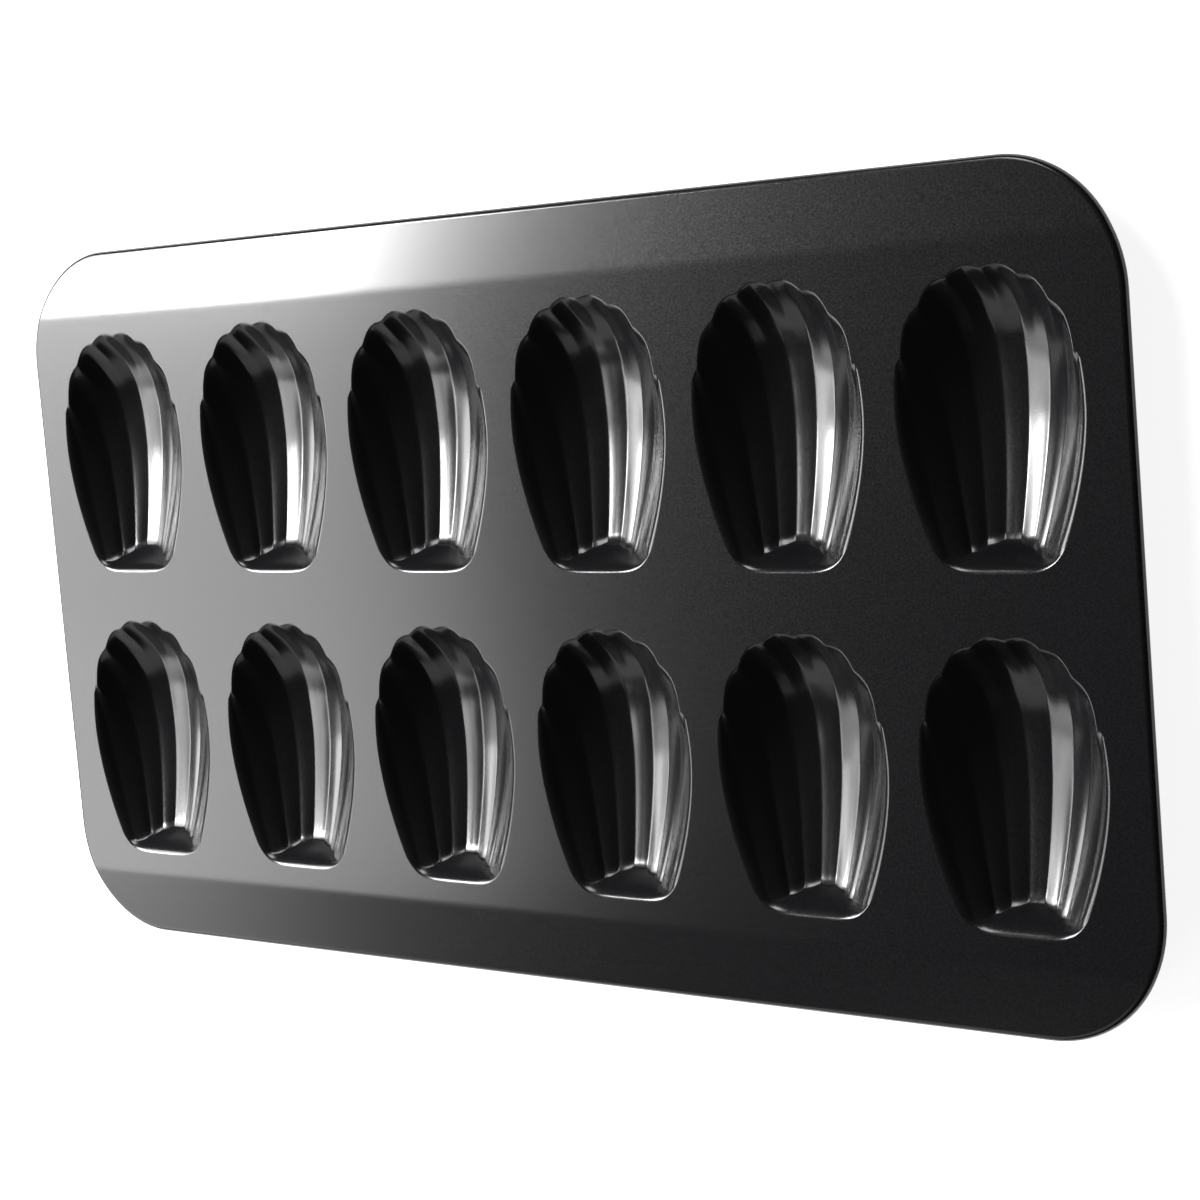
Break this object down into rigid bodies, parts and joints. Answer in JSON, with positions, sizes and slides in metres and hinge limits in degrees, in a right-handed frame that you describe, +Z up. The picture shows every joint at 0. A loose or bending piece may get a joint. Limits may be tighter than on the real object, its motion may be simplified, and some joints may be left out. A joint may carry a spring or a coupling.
{
  "type": "madeleine pan",
  "caption": "Flat rectangular non-stick baking pan with rounded corners, sloping edges, a rolled rim and two rows of shallow fluted shell-shaped cups.",
  "frame": {"origin": "on the surface that the pan stands on, under the middle of the pan", "axes": "+X along the pan's long side, +Y across it towards the scalloped round ends of the cups, +Z up out of the cups"},
  "size_m": [0.394, 0.2164, 0.0137],
  "materials": {
    "nonstick_steel": "satin dark charcoal non-stick coating with a fine mottled grain",
    "wire": "drawn mild steel wire"
  },
  "bodies": {
    "root": {"deck": "nonstick_steel", "front_flange": "nonstick_steel", "back_flange": "nonstick_steel", "rolled_rim": "nonstick_steel", "cup_front_1": "nonstick_steel", "cup_front_2": "nonstick_steel", "cup_front_3": "nonstick_steel", "cup_front_4": "nonstick_steel", "cup_front_5": "nonstick_steel", "cup_front_6": "nonstick_steel", "cup_back_1": "nonstick_steel", "cup_back_2": "nonstick_steel", "cup_back_3": "nonstick_steel", "cup_back_4": "nonstick_steel", "cup_back_5": "nonstick_steel", "cup_back_6": "nonstick_steel", "rim_wire": "wire"}
  },
  "joints": []
}
